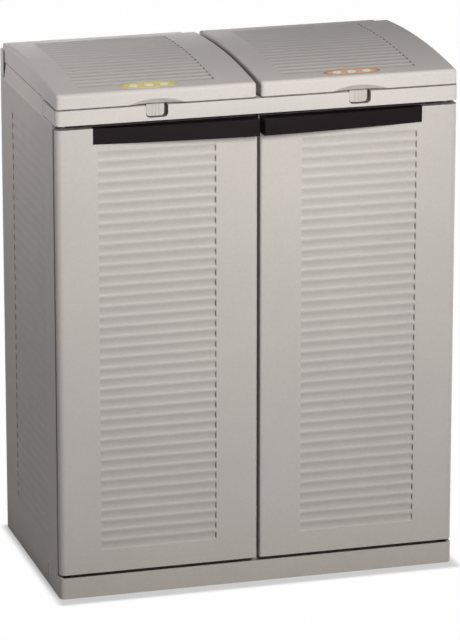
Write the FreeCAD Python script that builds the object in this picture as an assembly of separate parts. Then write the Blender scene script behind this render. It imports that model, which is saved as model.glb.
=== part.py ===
import FreeCAD, Part
import math
import os

# Double recycling bin: a moulded floor cabinet with two doors below and two hinged lids above.
# Millimetres. +X to the right, +Y to the back, +Z up. The origin is on the floor, under the centre
# of the whole object, grips included.

Vector = FreeCAD.Vector
Z_AXIS = Vector(0, 0, 1)

# ---- Overall sizes -------------------------------------------------------------------------
width = 680.0
carcass_depth = 385.0          # door face to back panel
grip_reach = 20.0              # how far a grip stands out of the door face beside the centre
plinth_height = 36.0
door_gap_below = 5.5
door_height = 756.0
door_gap_above = 6.5
rail_height = 25.0             # height of the top frame
lid_rise = 39.0                # top of the lids' crown above the top frame

# ---- Walls and fits ------------------------------------------------------------------------
wall = 3.0                     # skin of every large moulding
rib = 3.0                      # stiffening ribs inside them
corner_radius = 8.0            # front corners of base and top frame, seen from above
seat_gap = 0.3                 # between pieces that are fitted together
joint_gap = 1.5                # open joint that shows in front of and behind a side panel's tongue
running_gap = 0.05             # radial, between a stud and its hole
moving_gap = 0.6               # between pieces that move past each other

# ---- Side panels and back ------------------------------------------------------------------
panel_thickness = 20.0
back_thickness = 14.0
front_corner_block = 87.0      # the base and top frame keep this much of each side in front
rear_corner_block = 24.0       # and this much behind the side panel's tongues
tongue_thickness = 8.0
tongue_floor = 9.0             # height at which the lower tongue stands in the base
band_lean = 3.5                # how far the panel's band beside the top frame leans in at its top
band_drop = 4.0                # foot of that band below the top frame
rib_rows = 4                   # rows of ribbed bays inside doors and panels
base_columns = 3               # ribbed bays under the base
base_rows = 2
rear_rail_bays = 3             # ribbed bays under the top frame
bar_bays = 2

# ---- Grooved fields of the doors, side panels and lids --------------------------------------
groove_pitch = 17.47
groove_width = 15.0            # the rest of the pitch is a flat land, flush with the face
door_groove_depth = 1.7
shallow_groove_depth = 0.9     # on the side panels and the lids
panel_groove_count = 39        # on a door or a side panel
door_field_margin = 70.0       # from the door's side edges
side_field_front = 81.0        # from the door face to the start of the side panel's field
side_field_length = 222.0
lid_groove_count = 18
lid_groove_front = 36.0        # first groove behind the front
lid_groove_left = 44.5         # from the lid's left side to the grooves
lid_groove_length = 227.0

# ---- Doors ---------------------------------------------------------------------------------
door_thickness = 20.0
door_centre_gap = 5.0
door_inner_radius = 4.0
door_flange = 14.0             # solid edge round the ribbed bays
door_top_band = 32.0           # solid band behind the grip
pivot_radius = 3.0             # studs moulded on the door's two outer corners
pivot_in_carcass = 12.0        # how far a stud reaches into the base, which it stands on, or the top frame
pivot_block = 16.0             # solid corner beside each pivot
sill_height = 12.0             # stop strip behind the doors' lower edge
channel_lip = 2.5              # edge of the plinth in front of the channel under the doors
channel_end = 6.0              # and beside it
channel_depth = 6.0

# ---- Grips ---------------------------------------------------------------------------------
grip_length = 274.5
grip_height = 26.5
grip_seat_depth = 12.0         # depth of the notch in the door
grip_bulge = 2.5               # how far its front edge bows out of a straight line
grip_wall = 3.0
grip_centre_gap = 7.0
grip_nose_radius = 3.0

# ---- Door catches --------------------------------------------------------------------------
catch_from_centre = 48.0
strike_width = 10.0
strike_height = 12.0
strike_below_top = 8.0
clip_leaf = 2.5
clip_depth = 13.5
clip_setback = 1.5             # behind the door's back
clip_side_gap = 1.2            # on each side of the strike, which swings a little sideways

# ---- Lids ----------------------------------------------------------------------------------
lid_side_inset = 1.5           # lid's side inside the top frame's side
lid_centre_gap = 8.0
lid_gap = 1.5                  # between lid and top frame
lid_wall = 3.5
lid_edge_radius = 6.0          # upright corners and side edges
lid_front_radius = 7.0
crown_radius = 1800.0
crown_setback = 211.0          # highest line of the lid behind its front

# ---- Lid hinges ----------------------------------------------------------------------------
hinge_inset = 16.0             # hinge line in front of the back
lid_back_gap = 0.5
hinge_roll_end = 60.0          # degrees that the lid's back edge curls under the hinge line
knuckle_radius = 7.5
hinge_stud_radius = 2.5        # studs of the cheek and the ear, which the lid's webs turn on
hinge_stud_end = 1.0           # how far a stud stands out of its web
hinge_web = 4.0
end_ear_width = 26.0           # ear that shows at each lid's right end
cheek_width = 3.5              # thin upright at each lid's left end
cheek_height = 20.0
notch_reach = 9.0              # lid is cut back this far in front of the hinge line

# ---- Finger arch and catch of each lid -----------------------------------------------------
arch_width = 100.0
arch_rise = 10.0
arch_depth = 9.0
arch_drop = 11.0
arch_block_height = 16.0
catch_recess_width = 37.0
catch_recess_height = 20.0
catch_recess_depth = 18.0
catch_recess_radius = 7.0
catch_width = 30.0
catch_clearance_below = 2.5
catch_front_inset = 1.5
catch_facet = 3.0              # how far its narrow facet slants back
catch_shift = 2.3              # tongue's middle to the left of the recess's

# ---- Bag rings -----------------------------------------------------------------------------
front_rail_depth = 36.0
rear_rail_depth = 50.0
mouth_side_margin = 22.0       # from a lid's side to the opening under it
mouth_radius = 20.0
bag_ring_wall = 3.0
bag_ring_drop = 50.0
bag_flange = 10.0

# ---- Places that follow from the sizes -----------------------------------------------------
half_width = width / 2
front = (grip_reach - carcass_depth) / 2
back = front + carcass_depth
door_bottom = plinth_height + door_gap_below
door_top = door_bottom + door_height
frame_bottom = door_top + door_gap_above
lid_line = frame_bottom + rail_height
crown_top = lid_line + lid_rise
lid_bottom = lid_line + lid_gap
panel_front = front + door_thickness + moving_gap
panel_bottom = plinth_height + seat_gap
panel_top = frame_bottom - seat_gap
tongue_front = front + front_corner_block
tongue_back = back - rear_corner_block
door_width = half_width - door_centre_gap / 2
pivot_x = half_width - door_thickness / 2
pivot_y = front + door_thickness / 2
field_bottom = (door_bottom + door_top - panel_groove_count * groove_pitch) / 2
pocket_depth = door_groove_depth + wall
lid_width = half_width - lid_side_inset - lid_centre_gap / 2
lid_left_starts = {"left": -half_width + lid_side_inset, "right": lid_centre_gap / 2}
crown_centre = Vector(0, front + crown_setback, crown_top - crown_radius)
roll_radius = hinge_inset - lid_back_gap
side_sign = {"left": -1, "right": 1}
mouth_y = (front + front_rail_depth, back - rear_rail_depth)
grip_x = (grip_centre_gap / 2, grip_centre_gap / 2 + grip_length)
strike_length = clip_setback + clip_depth - clip_leaf - 2 * moving_gap


def tangent_centre(y, radius):
    """Centre, at the given y, of an arc that runs smoothly into the crown from below."""
    reach = crown_radius - radius
    offset = y - crown_centre.y
    return Vector(0, y, crown_centre.z + math.sqrt(reach ** 2 - offset ** 2))


front_arc_centre = tangent_centre(front + lid_front_radius, lid_front_radius)
hinge = tangent_centre(back - hinge_inset, roll_radius)


# ---- Small helpers -------------------------------------------------------------------------
def box(x, y, z):
    """Box between three (low, high) pairs."""
    size = [high - low for low, high in (x, y, z)]
    return Part.makeBox(size[0], size[1], size[2], Vector(x[0], y[0], z[0]))


def around(centre, size):
    """Low and high end of a length centred on a point."""
    return (centre - size / 2, centre + size / 2)


def cylinder_x(x, y, z, radius):
    """Cylinder along X between x = (low, high)."""
    return Part.makeCylinder(radius, x[1] - x[0], Vector(x[0], y, z), Vector(1, 0, 0))


def cylinder_z(x, y, z, radius):
    """Upright cylinder between z = (low, high)."""
    return Part.makeCylinder(radius, z[1] - z[0], Vector(x, y, z[0]), Z_AXIS)


def closed_face(edges):
    return Part.Face(Part.Wire([edge if isinstance(edge, Part.Edge) else edge.toShape() for edge in edges]))


def line(start, end):
    return Part.LineSegment(start, end)


def arc(centre, radius, start, end):
    """Arc in a plane of constant x, from one angle to another in degrees, 0 along +Y, 90 along +Z."""
    points = []
    for angle in (start, (start + end) / 2, end):
        turn = math.radians(angle)
        points.append(centre + Vector(0, radius * math.cos(turn), radius * math.sin(turn)))
    return Part.Arc(*points)


def edges_where(shape, test):
    """Edges of a shape whose end points and middle all pass a test."""
    found = []
    for edge in shape.Edges:
        middle = edge.valueAt((edge.FirstParameter + edge.LastParameter) / 2)
        if all(test(point) for point in [vertex.Point for vertex in edge.Vertexes] + [middle]):
            found.append(edge)
    return found


def near(value, target):
    return abs(value - target) < 1e-4


def upright_edges(shape, y):
    """Upright edges of a shape at one y."""
    return [edge for edge in edges_where(shape, lambda point: near(point.y, y))
            if near(edge.Vertexes[0].Point.x, edge.Vertexes[-1].Point.x)]


def rounded_plate(x, y, z, radius, ends):
    """Plate between three (low, high) pairs with its upright edges rounded at the y ends that are given."""
    plate = box(x, y, z)
    for place in ends:
        plate = plate.makeFillet(radius, upright_edges(plate, place))
    return plate


def bays(x, y, z, columns, rows, layers=1):
    """Boxes that fill a block, with a rib left between neighbours."""
    cells = []
    steps = [(x, columns), (y, rows), (z, layers)]
    spans = []
    for (low, high), count in steps:
        size = (high - low - rib * (count - 1)) / count
        spans.append([(low + i * (size + rib), low + i * (size + rib) + size) for i in range(count)])
    for x_span in spans[0]:
        for y_span in spans[1]:
            for z_span in spans[2]:
                cells.append(box(x_span, y_span, z_span))
    return cells


def mirrored(shape):
    return shape.mirror(Vector(0, 0, 0), Vector(1, 0, 0))


def for_side(shape, side):
    """A shape drawn for the right half, on the side that is asked for."""
    return shape if side == "right" else mirrored(shape)


# ---- Grooved fields ------------------------------------------------------------------------
def groove_radius(depth):
    """Radius of a round-bottomed groove of the common width and a given depth."""
    return (groove_width ** 2 / 4 + depth ** 2) / (2 * depth)


def face_grooves(x, face_y, depth):
    """Shallow round-bottomed grooves along X, one above the other, in an upright face at face_y."""
    radius = groove_radius(depth)
    y = face_y + depth - radius
    first = field_bottom + groove_pitch / 2
    return [cylinder_x(x, y, first + number * groove_pitch, radius) for number in range(panel_groove_count)]


# ---- Base ----------------------------------------------------------------------------------
def carcass_plate(z):
    """Outline that the base and the top frame share."""
    return rounded_plate((-half_width, half_width), (front, back), z, corner_radius, [front])


def tongue_slots(z):
    """Slots in both sides that take the side panels' tongues."""
    y = (tongue_front - joint_gap, tongue_back + joint_gap)
    slots = []
    for side in (-1, 1):
        outer = side * (half_width + 1)
        inner = side * (half_width - tongue_thickness - seat_gap)
        slots.append(box((min(outer, inner), max(outer, inner)), y, z))
    return slots


def pivot_holes(z):
    return [cylinder_z(side * pivot_x, pivot_y, z, pivot_radius + running_gap) for side in (-1, 1)]


def make_base():
    """Plinth: a floor plate on a skirt, with a grid of ribs below that stands on the ground."""
    body = carcass_plate((0, plinth_height))
    inner = half_width - tongue_thickness - seat_gap - wall
    rib_floor = plinth_height - wall
    front_rib = front + door_thickness + wall
    sill_end = half_width - panel_thickness - seat_gap
    body = body.fuse(box((-sill_end, sill_end), (panel_front, panel_front + wall),
                         (plinth_height - wall, plinth_height + sill_height)))
    body = body.cut(bays((-inner, inner), (front_rib, back - wall), (-1, rib_floor), base_columns, base_rows))
    channel_floor = plinth_height - channel_depth
    body = body.cut(bays((-pivot_x + pivot_block, pivot_x - pivot_block), (front + wall, front_rib - rib),
                         (-1, channel_floor - wall), base_columns, 1))
    channel_x = half_width - channel_end
    body = body.cut(box((-channel_x, channel_x), (front + channel_lip, panel_front), (channel_floor, door_bottom)))
    body = body.cut(tongue_slots((tongue_floor, plinth_height + 1)))
    return body.cut(pivot_holes((plinth_height - pivot_in_carcass, door_bottom)))


# ---- Side and back panels ------------------------------------------------------------------
def make_side_panel(side):
    """Ribbed panel with a grooved outer face, and a tongue above and below."""
    inner_x = half_width - panel_thickness
    field_y = (front + side_field_front, front + side_field_front + side_field_length)
    body = box((inner_x, half_width), (panel_front, back), (panel_bottom, panel_top))
    tongue = box((half_width - tongue_thickness, half_width), (tongue_front, tongue_back),
                 (tongue_floor + seat_gap, lid_line))
    # The grooves are drawn along X, then turned so that their face looks along +X.
    turn = FreeCAD.Placement(Vector(half_width, 0, 0), FreeCAD.Rotation(Z_AXIS, 90))
    cuts = face_grooves(field_y, 0, shallow_groove_depth)
    pocket_y = (panel_front + door_flange, back - back_thickness - door_flange)
    pocket_z = (panel_bottom + door_flange, panel_top - door_flange)
    for column in ((pocket_y[0], field_y[0] - wall - rib), (field_y[0] - wall, field_y[1] + wall),
                   (field_y[1] + wall + rib, pocket_y[1])):
        cuts += bays(column, (pocket_depth, panel_thickness + 1), pocket_z, 1, 1, rib_rows)
    cuts = [tool.transformed(turn.toMatrix()) for tool in cuts]
    foot = Vector(half_width, tongue_front, frame_bottom - band_drop)
    top = Vector(half_width - band_lean, tongue_front, lid_line)
    outside = [Vector(half_width + 1, tongue_front, lid_line), Vector(half_width + 1, tongue_front, foot.z)]
    lean = closed_face([line(foot, top), line(top, outside[0]), line(outside[0], outside[1]),
                        line(outside[1], foot)]).extrude(Vector(0, tongue_back - tongue_front, 0))
    body = body.fuse(tongue).cut(cuts + [lean])
    return for_side(body, side)


def make_back_panel():
    """Flat outside, ribbed inside, between the side panels."""
    x = half_width - panel_thickness - seat_gap
    body = box((-x, x), (back - back_thickness, back), (panel_bottom, panel_top))
    edge = door_flange
    return body.cut(bays((-x + edge, x - edge), (back - back_thickness - 1, back - wall),
                         (panel_bottom + edge, panel_top - edge), 4, 1, rib_rows))


# ---- Top frame -----------------------------------------------------------------------------
def mouth_x(side):
    """Low and high x of the opening under one lid."""
    start = lid_left_starts[side]
    return (start + mouth_side_margin, start + lid_width - mouth_side_margin)


def lid_centre_x(side):
    return lid_left_starts[side] + lid_width / 2


def catch_shape(x, width_here, low, high, radius, y):
    """Upright plate along Y with its two lower corners rounded."""
    left, right = around(x, width_here)
    diagonal = radius * (1 - math.sqrt(0.5))
    place = [Vector(left, y[0], high), Vector(left, y[0], low + radius), Vector(left + radius, y[0], low),
             Vector(right - radius, y[0], low), Vector(right, y[0], low + radius), Vector(right, y[0], high)]
    left_bend = Part.Arc(place[1], Vector(left + diagonal, y[0], low + diagonal), place[2])
    right_bend = Part.Arc(place[3], Vector(right - diagonal, y[0], low + diagonal), place[4])
    outline = closed_face([line(place[0], place[1]), left_bend, line(place[2], place[3]), right_bend,
                           line(place[4], place[5]), line(place[5], place[0])])
    return outline.extrude(Vector(0, y[1] - y[0], 0))


def ear(x, radius, low):
    """Upright ear with a round head about the hinge line."""
    head = cylinder_x(x, hinge.y, hinge.z, radius)
    return head.fuse(box(x, around(hinge.y, 2 * radius), (low, hinge.z)))


def hinge_places(side):
    """Where a lid's cheek, webs and ear lie along X."""
    start = lid_left_starts[side]
    end = start + lid_width
    cheek_end = start - lid_side_inset + cheek_width
    web_start = cheek_end + seat_gap
    end_start = end - end_ear_width
    return {
        "cheek": (start - lid_side_inset, cheek_end),
        "left_web": (web_start, web_start + hinge_web),
        "right_web": (end_start - seat_gap - hinge_web, end_start - seat_gap),
        "end_ear": (end_start, end + lid_side_inset),
    }


def make_hinge_ears(side):
    """Cheek and ear that stand on the rear rail, with the studs that carry one lid between them."""
    place = hinge_places(side)
    root = lid_line - wall
    cheek = box(place["cheek"], (hinge.y - knuckle_radius, back), (root, lid_line + cheek_height))
    left_stud = (place["cheek"][0], place["left_web"][1] + hinge_stud_end)
    right_stud = (place["right_web"][0] - hinge_stud_end, place["end_ear"][1])
    return cheek.fuse([ear(place["end_ear"], knuckle_radius, root),
                       cylinder_x(left_stud, hinge.y, hinge.z, hinge_stud_radius),
                       cylinder_x(right_stud, hinge.y, hinge.z, hinge_stud_radius)])


def make_top_frame():
    """Frame round the two openings, with hinge ears behind and catch recesses in front."""
    body = carcass_plate((frame_bottom, lid_line))
    cuts = tongue_slots((frame_bottom - 1, lid_line + 1))
    deck = lid_line - wall
    for side in ("left", "right"):
        x = mouth_x(side)
        cuts.append(rounded_plate(x, mouth_y, (frame_bottom - 1, lid_line + 1), mouth_radius, mouth_y))
        centre = lid_centre_x(side)
        cuts.append(catch_shape(centre, catch_recess_width, lid_line - catch_recess_height, lid_line + 1,
                                catch_recess_radius, (front - 1, front + catch_recess_depth)))
    # Underside bays: the front rail stays solid round each catch recess and each door clip.
    solid_zones = []
    for side in ("left", "right"):
        solid_zones.append((lid_centre_x(side), catch_recess_width / 2 + wall))
        clip_half = strike_width / 2 + clip_side_gap + clip_leaf
        solid_zones.append((side_sign[side] * catch_from_centre, clip_half + wall))
    solid_zones.sort()
    edge = pivot_x - pivot_block
    low = -edge
    for centre, half in solid_zones:
        cuts += bays((low, centre - half), (front + wall, mouth_y[0] - wall), (frame_bottom - 1, deck), 1, 1)
        low = centre + half
    cuts += bays((low, edge), (front + wall, mouth_y[0] - wall), (frame_bottom - 1, deck), 1, 1)
    cuts += bays((-edge, edge), (mouth_y[1] + wall, back - wall), (frame_bottom - 1, deck), rear_rail_bays, 1)
    bar = mouth_x("right")[0] - wall
    cuts += bays((-bar, bar), (mouth_y[0] + wall, mouth_y[1] - wall), (frame_bottom - 1, deck), 1, bar_bays)
    body = body.cut(cuts + pivot_holes((frame_bottom - 1, frame_bottom + pivot_in_carcass + seat_gap)))
    return body.fuse([make_hinge_ears("left"), make_hinge_ears("right")])


# ---- Bag rings -----------------------------------------------------------------------------
def neck_plate(side, spread, z, radius):
    """Rounded plate with the outline of a bag ring's neck, spread outward by a distance."""
    grow = spread - seat_gap
    x, y = [(low - grow, high + grow) for low, high in (mouth_x(side), mouth_y)]
    return rounded_plate(x, y, z, radius, y)


def make_bag_ring(side):
    """Flanged neck that hangs in one opening: the bag's mouth is folded over it."""
    top = lid_line + bag_ring_wall
    bottom = lid_line - bag_ring_drop
    flange = neck_plate(side, bag_flange, (lid_line, top), mouth_radius + bag_flange)
    neck = neck_plate(side, 0, (bottom, top), mouth_radius - seat_gap)
    bore = neck_plate(side, -bag_ring_wall, (bottom - 1, top + 1), mouth_radius - bag_ring_wall)
    return flange.fuse(neck).cut(bore)


# ---- Doors ---------------------------------------------------------------------------------
def make_door(side):
    """Ribbed door with a grooved face, a half-round edge on two studs and a notch for the grip."""
    inner = half_width - door_width
    rear = front + door_thickness
    bend = door_inner_radius
    corner = Vector(inner + bend * (1 - math.sqrt(0.5)), front + bend * (1 - math.sqrt(0.5)), door_bottom)
    place = [Vector(x, y, door_bottom) for x, y in ((pivot_x, front), (inner + bend, front), (inner, front + bend),
                                                    (inner, rear), (pivot_x, rear))]
    outline = closed_face([line(place[0], place[1]), Part.Arc(place[1], corner, place[2]),
                           line(place[2], place[3]), line(place[3], place[4]),
                           Part.Arc(place[4], Vector(half_width, pivot_y, door_bottom), place[0])])
    body = outline.extrude(Vector(0, 0, door_height))
    field_x = (inner + door_field_margin, half_width - door_field_margin)
    z = (door_bottom + door_flange, door_top - door_top_band)
    cells = []
    for column in ((inner + door_flange, field_x[0] - wall - rib), (field_x[0] - wall, field_x[1] + wall),
                   (field_x[1] + wall + rib, pivot_x - door_flange)):
        cells += bays(column, (front + pocket_depth, rear + 1), z, 1, 1, rib_rows)
    notch = box((inner - 1, grip_x[1] + seat_gap), (front - 1, front + grip_seat_depth + seat_gap),
                (door_top - grip_height - seat_gap, door_top + 1))
    body = body.cut(face_grooves(field_x, front, door_groove_depth) + cells + [notch])
    strike_top = door_top - strike_below_top
    strike = box(around(catch_from_centre, strike_width), (rear - 1, rear + strike_length),
                 (strike_top - strike_height, strike_top))
    studs = cylinder_z(pivot_x, pivot_y, (plinth_height - pivot_in_carcass, door_bottom + 1), pivot_radius)
    upper = cylinder_z(pivot_x, pivot_y, (door_top - 1, frame_bottom + pivot_in_carcass), pivot_radius)
    return for_side(body.fuse([strike, studs, upper]), side)


def grip_outline(inset, end_inset, height):
    """Plan of the grip, or of its finger pocket: a wedge that deepens towards the centre."""
    inner = grip_x[0] + inset
    outer = grip_x[1] - end_inset
    rear = front + grip_seat_depth - inset

    def front_y(x):
        share = (grip_x[1] - x) / grip_length
        return front - grip_reach * share - 4 * grip_bulge * share * (1 - share) + inset

    middle = (inner + outer) / 2
    place = [Vector(inner, front_y(inner), height), Vector(outer, front_y(outer), height),
             Vector(outer, rear, height), Vector(inner, rear, height)]
    return closed_face([Part.Arc(place[0], Vector(middle, front_y(middle), height), place[1]),
                        line(place[1], place[2]), line(place[2], place[3]), line(place[3], place[0])])


def make_grip(side):
    """Hooded grip in the door's top corner: fingers go in from below, behind its front."""
    low = door_top - grip_height
    body = grip_outline(0, 0, low).extrude(Vector(0, 0, grip_height))
    nose = edges_where(body, lambda point: near(point.x, grip_x[0]) and point.y < front)
    nose = [edge for edge in nose if near(edge.Length, grip_height)]
    body = body.makeFillet(grip_nose_radius, nose)
    pocket = grip_outline(grip_wall, 4 * grip_wall, low - 1).extrude(Vector(0, 0, grip_height - grip_wall + 1))
    return for_side(body.cut(pocket), side)


def make_door_clip(side):
    """Springy fork under the front rail that holds the door's strike."""
    rear = front + door_thickness
    y = (rear + clip_setback, rear + clip_setback + clip_depth)
    low = door_top - strike_below_top - strike_height
    outer = around(catch_from_centre, strike_width + 2 * (clip_side_gap + clip_leaf))
    gap = around(catch_from_centre, strike_width + 2 * clip_side_gap)
    fork = box(outer, y, (low, frame_bottom))
    return for_side(fork.cut(box(gap, (y[0] - 1, y[1] - clip_leaf), (low - 1, frame_bottom - clip_leaf))), side)


# ---- Lids ----------------------------------------------------------------------------------
def lid_profile(inset, x):
    """Side view of the lid, drawn inward by a wall: front, crown and curled back edge are tangent arcs."""
    front_tilt = math.degrees(math.atan2(front_arc_centre.z - crown_centre.z, front_arc_centre.y - crown_centre.y))
    rear_tilt = math.degrees(math.atan2(hinge.z - crown_centre.z, hinge.y - crown_centre.y))
    shift = Vector(x, 0, 0)
    bow = arc(front_arc_centre + shift, lid_front_radius - inset, 180, front_tilt)
    crown = arc(crown_centre + shift, crown_radius - inset, front_tilt, rear_tilt)
    roll = arc(hinge + shift, roll_radius - inset, rear_tilt, -hinge_roll_end)
    # The room inside is open below, so its outline runs on past the lid's lower edge.
    low = lid_bottom if inset == 0 else lid_bottom - lid_wall
    heel_y = hinge.y - notch_reach if inset == 0 else roll.EndPoint.y + inset
    foot = Vector(x, front + inset, low)
    heel = Vector(x, heel_y, low)
    return closed_face([line(foot, bow.StartPoint), bow, crown, roll, line(roll.EndPoint, heel), line(heel, foot)])


def side_edges(shape, x):
    """Edges at the lid's two sides that run up the front and over the crown."""
    edges = edges_where(shape, lambda point: min(abs(point.x - x[0]), abs(point.x - x[1])) < 1e-4)
    above = lid_bottom + lid_front_radius
    return [edge for edge in edges if max(vertex.Point.z for vertex in edge.Vertexes) > above
            and min(vertex.Point.y for vertex in edge.Vertexes) < hinge.y - notch_reach - 1e-4]


def lid_grooves(start):
    """The same grooves across the crown, one after another along its curve."""
    grooves = []
    x = (start + lid_groove_left, start + lid_groove_left + lid_groove_length)
    radius = groove_radius(shallow_groove_depth)
    reach = crown_radius + radius - shallow_groove_depth
    step = groove_pitch / crown_radius
    first = (front + lid_groove_front - crown_centre.y) / crown_radius
    for number in range(lid_groove_count):
        turn = first + number * step
        grooves.append(cylinder_x(x, crown_centre.y + reach * math.sin(turn),
                                  crown_centre.z + reach * math.cos(turn), radius))
    return grooves


def arch_cut(x):
    """Slanting scoop under an arched edge, deepest at the lid's lower edge."""
    lead = 1.0
    slope = arch_drop / arch_depth
    low = lid_bottom + lead * slope
    y = front - lead
    ends = around(x, arch_width)
    place = [Vector(ends[0], y, low), Vector(x, y, low + arch_rise), Vector(ends[1], y, low),
             Vector(ends[1], y, low - arch_block_height), Vector(ends[0], y, low - arch_block_height)]
    outline = closed_face([Part.Arc(place[0], place[1], place[2]), line(place[2], place[3]),
                           line(place[3], place[4]), line(place[4], place[0])])
    run = arch_depth + lead
    return outline.extrude(Vector(0, run, -run * slope))


def make_lid(side):
    """Crowned shell with grooves, finger arch, curled back edge and hinge webs."""
    start = lid_left_starts[side]
    x = (start, start + lid_width)
    place = hinge_places(side)
    notch_x = place["right_web"][1]
    notch_y = hinge.y - notch_reach
    ahead = box((x[0] - 1, x[1] + 1), (front - 1, notch_y), (lid_line - 1, crown_top + 1))
    between = box((place["left_web"][0], notch_x), (notch_y, back + 1), (lid_line - 1, crown_top + 1))
    solid = lid_profile(0, x[0]).extrude(Vector(lid_width, 0, 0))
    main = solid.common(ahead)
    outer = main.makeFillet(lid_edge_radius, side_edges(main, x)).fuse(solid.common(between))
    room = lid_profile(lid_wall, x[0] + lid_wall).extrude(Vector(lid_width - 2 * lid_wall, 0, 0))
    centre = lid_centre_x(side)
    arch_block = box(around(centre, arch_width + 2 * lid_wall), (front, front + catch_recess_depth),
                     (lid_bottom, lid_bottom + arch_block_height))
    notch_wall = box((notch_x - lid_wall, x[1]), (notch_y - lid_wall, notch_y), (lid_bottom, crown_top))
    webs = [cylinder_x(place[name], hinge.y, hinge.z, roll_radius) for name in ("left_web", "right_web")]
    shell = outer.cut(room).fuse([arch_block.common(outer), notch_wall.common(outer)] + webs)
    cuts = [arch_cut(centre)]
    for name in ("left_web", "right_web"):
        low, high = place[name]
        cuts.append(cylinder_x((low - 1, high + 1), hinge.y, hinge.z, hinge_stud_radius + running_gap))
    return shell.cut(cuts + lid_grooves(start))


def make_lid_catch(side):
    """Faceted tongue that hangs from the lid into the recess of the front rail."""
    centre = lid_centre_x(side) - catch_shift
    low = lid_line - catch_recess_height + catch_clearance_below
    y = (front + catch_front_inset, front + catch_recess_depth - moving_gap)
    plate = catch_shape(centre, catch_width, low, lid_bottom, catch_recess_radius - 2, y)
    left, right = around(centre, catch_width)
    crease = right - catch_width / 3
    place = [Vector(left, y[0] + catch_facet / 2, low), Vector(crease, y[0], low),
             Vector(right, y[0] + catch_facet, low), Vector(right, y[1], low), Vector(left, y[1], low)]
    edges = [line(place[i], place[(i + 1) % len(place)]) for i in range(len(place))]
    return plate.common(closed_face(edges).extrude(Vector(0, 0, lid_bottom - low)))


# ---- All pieces ----------------------------------------------------------------------------
pieces = {
    "base": make_base(),
    "back_panel": make_back_panel(),
    "top_frame": make_top_frame(),
}
for side in ("left", "right"):
    pieces["side_panel_" + side] = make_side_panel(side)
    pieces["bag_ring_" + side] = make_bag_ring(side)
    pieces["door_" + side] = make_door(side)
    pieces["door_grip_" + side] = make_grip(side)
    pieces["door_clip_" + side] = make_door_clip(side)
    pieces["lid_" + side] = make_lid(side)
    pieces["lid_catch_" + side] = make_lid_catch(side)

os.makedirs("parts", exist_ok=True)
for name, shape in pieces.items():
    clean = shape.removeSplitter()
    clean.exportStep("parts/" + name + ".step")
    room = clean.BoundBox
    print(name, "solids", len(clean.Solids), "valid", clean.isValid(), "volume", round(clean.Volume),
          "x", round(room.XMin, 2), round(room.XMax, 2), "y", round(room.YMin, 2), round(room.YMax, 2),
          "z", round(room.ZMin, 2), round(room.ZMax, 2))
print("hinge line y", round(hinge.y, 3), "z", round(hinge.z, 3), "pivot", round(pivot_x, 3), round(pivot_y, 3))
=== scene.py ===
import math

import bpy
from bpy.props import FloatProperty, FloatVectorProperty, PointerProperty
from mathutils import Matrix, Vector


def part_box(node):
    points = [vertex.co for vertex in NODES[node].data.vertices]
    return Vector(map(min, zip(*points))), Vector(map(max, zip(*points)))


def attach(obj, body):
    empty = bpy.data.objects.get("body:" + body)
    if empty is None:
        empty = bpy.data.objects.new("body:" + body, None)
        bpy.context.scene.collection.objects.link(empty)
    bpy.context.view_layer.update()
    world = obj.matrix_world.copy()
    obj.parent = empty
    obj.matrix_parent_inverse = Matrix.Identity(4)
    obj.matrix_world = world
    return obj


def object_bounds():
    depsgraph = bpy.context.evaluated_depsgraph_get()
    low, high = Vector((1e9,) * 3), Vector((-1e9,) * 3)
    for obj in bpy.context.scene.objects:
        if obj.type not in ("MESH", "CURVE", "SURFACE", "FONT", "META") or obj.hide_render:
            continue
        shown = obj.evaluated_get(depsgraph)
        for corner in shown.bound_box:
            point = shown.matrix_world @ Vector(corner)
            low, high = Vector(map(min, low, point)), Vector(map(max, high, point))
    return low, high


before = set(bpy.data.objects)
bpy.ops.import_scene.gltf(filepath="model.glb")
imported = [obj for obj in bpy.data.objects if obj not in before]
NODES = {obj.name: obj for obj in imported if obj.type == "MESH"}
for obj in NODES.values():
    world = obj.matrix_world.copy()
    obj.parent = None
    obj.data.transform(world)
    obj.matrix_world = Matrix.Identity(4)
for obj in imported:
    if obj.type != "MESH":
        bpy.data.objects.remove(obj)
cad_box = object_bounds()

bl_info = {
    "name": "Double Recycling Bin",
    "version": (1, 0, 0),
    "blender": (4, 5, 0),
    "location": "3D View > Sidebar > Bin",
    "description": "Finishes, lid badges, lamps and camera of a double recycling bin",
    "category": "Object",
}

CABINET_NODES = ("base", "back_panel", "side_panel_left", "side_panel_right")
DOOR_NODES = ("door_left", "door_right")
LID_NODES = ("lid_left", "lid_right")
CATCH_NODES = ("lid_catch_left", "lid_catch_right")
GRIP_NODES = ("door_grip_left", "door_grip_right")
DARK_NODES = ("bag_ring_left", "bag_ring_right", "door_clip_left", "door_clip_right")

# ---- Places of the moulded details, in metres, as the solids have them ------------------------
SIDE_FACE = 0.3355            # |x| past which a point is on the cabinet's outer sides
GROOVED_FACE = 0.3388         # |x| past which a point is on a side panel's outer skin
FRAME_BOTTOM = 0.804
LID_BOTTOM = 0.8305
BAND_DROP = 0.004             # foot of the side panels' band below the top frame
TONGUE_FRONT = -0.0955        # ends of the side panels' tongues
TONGUE_BACK = 0.1785
TONGUE_HEIGHTS = (0.009, 0.036)   # where a tongue shows in the base
JOINT = 0.0015                # open joint beside a tongue
PIVOT_BELOW = 0.0173          # how far the pivots stand out under a door
PIVOT_ABOVE = 0.0183          # and over it
CHANNEL_REACH = (0.0012, 0.02)    # channel under the doors, behind the base's front
CHANNEL_DEPTH = 0.0065

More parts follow.
